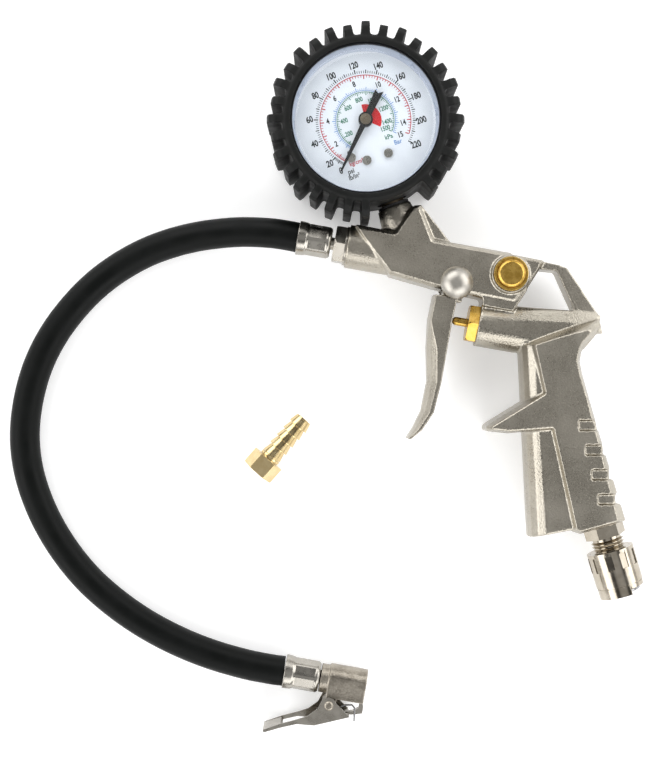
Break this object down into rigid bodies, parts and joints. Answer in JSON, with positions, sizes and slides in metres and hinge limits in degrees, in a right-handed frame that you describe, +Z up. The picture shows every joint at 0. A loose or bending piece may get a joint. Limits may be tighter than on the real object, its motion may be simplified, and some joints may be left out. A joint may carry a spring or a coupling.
{
  "type": "portable tire inflator",
  "caption": "Pistol-grip tyre inflator with a booted dial gauge, squeeze trigger, bleed button, whip hose with clip-on valve chuck, quick coupler and a loose hose tail.",
  "frame": {"origin": "middle of the box of the gun and the loose hose tail, on the table that the gun lies on", "axes": "+X back along the barrel from the hose end to the grip, +Y from the grip's foot up to the gauge, +Z up from the table, out of the gauge's face"},
  "size_m": [0.2622, 0.2837, 0.034],
  "materials": {
    "plated_zinc": "satin nickel-plated die-cast zinc",
    "steel": "plated steel",
    "spring_steel": "drawn spring wire",
    "brass": "machined brass",
    "rubber": "matt black rubber",
    "hose_rubber": "smooth black hose rubber",
    "black_steel": "black enamel",
    "dial_white": "matt white enamel with printed scales",
    "black_paint": "matt black",
    "clear_plastic": "clear window",
    "white_plastic": "white moulded plastic"
  },
  "bodies": {
    "gun": {"gun_body": "plated_zinc", "trigger_rivet": "steel", "rivet_washer": "steel", "valve_nut": "brass", "valve_seal": "rubber", "valve_spring": "spring_steel", "bleed_guide": "brass", "bleed_spring": "spring_steel", "bleed_seal": "rubber", "hose_fitting": "steel", "hose_end_gun": "hose_rubber", "hose_ferrule": "steel", "hose": "hose_rubber", "hose_end_chuck": "hose_rubber", "chuck_ferrule": "steel", "chuck_body": "plated_zinc", "chuck_seal": "rubber", "chuck_depressor": "brass", "chuck_pin": "steel", "chuck_spring": "spring_steel", "gauge_boot": "rubber", "gauge_case": "black_steel", "gauge_bezel": "black_steel", "gauge_lens": "clear_plastic", "lens_gasket": "white_plastic", "gauge_dial": "dial_white", "dial_screws": "steel", "gauge_socket": "brass", "stem_seal": "rubber", "bourdon_tube": "brass", "bourdon_tip": "brass", "movement_frame": "brass", "hairspring": "spring_steel", "link_bar": "brass", "inlet_nipple": "steel", "inlet_seal": "rubber", "coupler_body": "steel", "coupler_spring": "spring_steel", "coupler_balls": "steel", "coupler_clip": "spring_steel", "coupler_valve_spring": "spring_steel", "coupler_seal": "rubber"},
    "trigger": {"trigger": "plated_zinc"},
    "valve_stem": {"valve_stem": "brass"},
    "bleed_button": {"bleed_button": "brass"},
    "pointer": {"pointer": "black_paint", "pinion_arbor": "brass"},
    "sector": {"sector_gear": "brass"},
    "coupler_sleeve": {"coupler_sleeve": "steel"},
    "coupler_valve": {"coupler_valve": "brass"},
    "chuck_lever": {"chuck_lever": "steel"},
    "hose_tail": {"hose_tail": "brass", "tail_nut": "brass", "tail_washer": "rubber"}
  },
  "joints": [
    {"name": "trigger_swing", "type": "hinge", "parent": "gun", "child": "trigger", "pos_m": [-0.005, 0.0099, 0.014], "axis": [0, 0, 1], "range_deg": [0, 16], "stiffness_Nm_per_rad": 0.6, "springref_deg": -8.59},
    {"name": "valve_push", "type": "slide", "parent": "gun", "child": "valve_stem", "axis": [1, 0, 0], "range_m": [0, 0.004], "deforming": ["valve_spring"]},
    {"name": "bleed_press", "type": "slide", "parent": "gun", "child": "bleed_button", "axis": [0, 0, -1], "range_m": [0, 0.0015], "stiffness_N_per_m": 800, "springref_m": -0.001, "deforming": ["bleed_spring"]},
    {"name": "sector_swing", "type": "hinge", "parent": "gun", "child": "sector", "pos_m": [-0.05537, 0.05505, 0.014], "axis": [0, 0, 1], "range_deg": [0, 36.4], "stiffness_Nm_per_rad": 0.004, "springref_deg": -2.86},
    {"name": "pointer_turn", "type": "hinge", "parent": "gun", "child": "pointer", "pos_m": [-0.05145, 0.06581, 0.014], "axis": [0, 0, 1], "range_deg": [-270, 0]},
    {"name": "sleeve_pull", "type": "slide", "parent": "gun", "child": "coupler_sleeve", "axis": [-0.4462, 0.8949, 0], "range_m": [0, 0.003], "stiffness_N_per_m": 1500, "springref_m": -0.002, "deforming": ["coupler_spring"]},
    {"name": "coupler_valve_push", "type": "slide", "parent": "gun", "child": "coupler_valve", "axis": [-0.4462, 0.8949, 0], "range_m": [0, 0.001], "stiffness_N_per_m": 600, "springref_m": -0.001, "deforming": ["coupler_valve_spring"]},
    {"name": "lever_swing", "type": "hinge", "parent": "gun", "child": "chuck_lever", "pos_m": [-0.0254, -0.16465, 0.008], "axis": [0, 0, 1], "range_deg": [-20, 0], "stiffness_Nm_per_rad": 0.06, "springref_deg": 11.46},
    {"name": "tail_lift", "type": "slide", "parent": "gun", "child": "hose_tail", "axis": [0, 0, 1], "range_m": [0, 0.06]}
  ],
  "couplings": [
    {"joint": "valve_push", "follows": "trigger_swing", "m_per_rad": 0.0143},
    {"joint": "pointer_turn", "follows": "sector_swing", "ratio": -7.4074}
  ]
}
